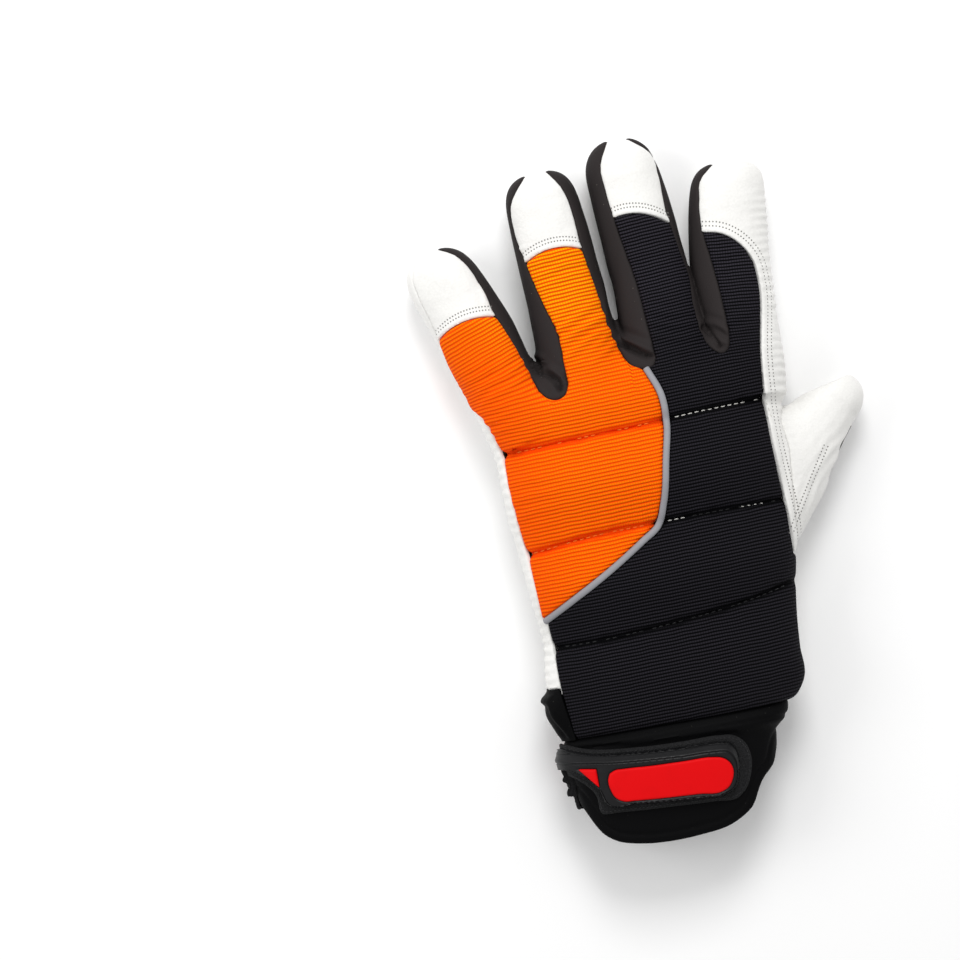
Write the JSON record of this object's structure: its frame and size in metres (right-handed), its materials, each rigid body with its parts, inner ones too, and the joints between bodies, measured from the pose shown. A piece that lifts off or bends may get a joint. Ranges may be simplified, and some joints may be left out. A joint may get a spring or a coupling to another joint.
{
  "type": "padded work glove for the left hand",
  "caption": "Padded chainsaw work glove with a ribbed orange and black back, white leather palm, tips and thumb, and a black strapped cuff",
  "frame": {"origin": "on the resting face of the palm patch, in the middle of the palm", "axes": "-Z is out of the palm towards the surface it rests on, +Z out of the back of the hand, +Y towards the fingertips, +X towards the thumb"},
  "size_m": [0.1608, 0.2598, 0.0413],
  "materials": {
    "orange_knit": "ribbed padded knit, hi-vis orange",
    "black_knit": "ribbed padded knit, black",
    "neoprene": "smooth jersey-faced neoprene, black",
    "white_leather": "fine-grained goatskin, matt white",
    "piping": "grey reflective piping",
    "strap": "woven hook strap, black",
    "rubber": "moulded satin rubber, black",
    "red_rubber": "moulded satin rubber, red",
    "cream_rubber": "moulded satin rubber, cream"
  },
  "bodies": {
    "root": {"back_orange": "orange_knit", "back_black": "black_knit", "piping": "piping", "palm_leather": "white_leather", "palm_patch": "white_leather", "thumb_leather": "white_leather", "thumb_side": "neoprene", "cap_little": "white_leather", "cap_ring": "white_leather", "cap_middle": "white_leather", "index_overlay": "white_leather", "side_little_ring": "neoprene", "side_ring_middle": "neoprene", "side_middle_index": "neoprene", "side_gusset": "neoprene", "cuff": "neoprene", "wrist_strap": "strap", "back_tab": "rubber", "back_lozenge": "red_rubber", "back_wedge": "red_rubber", "palm_tab": "rubber", "palm_badge": "cream_rubber", "palm_wedge": "red_rubber"}
  },
  "joints": []
}
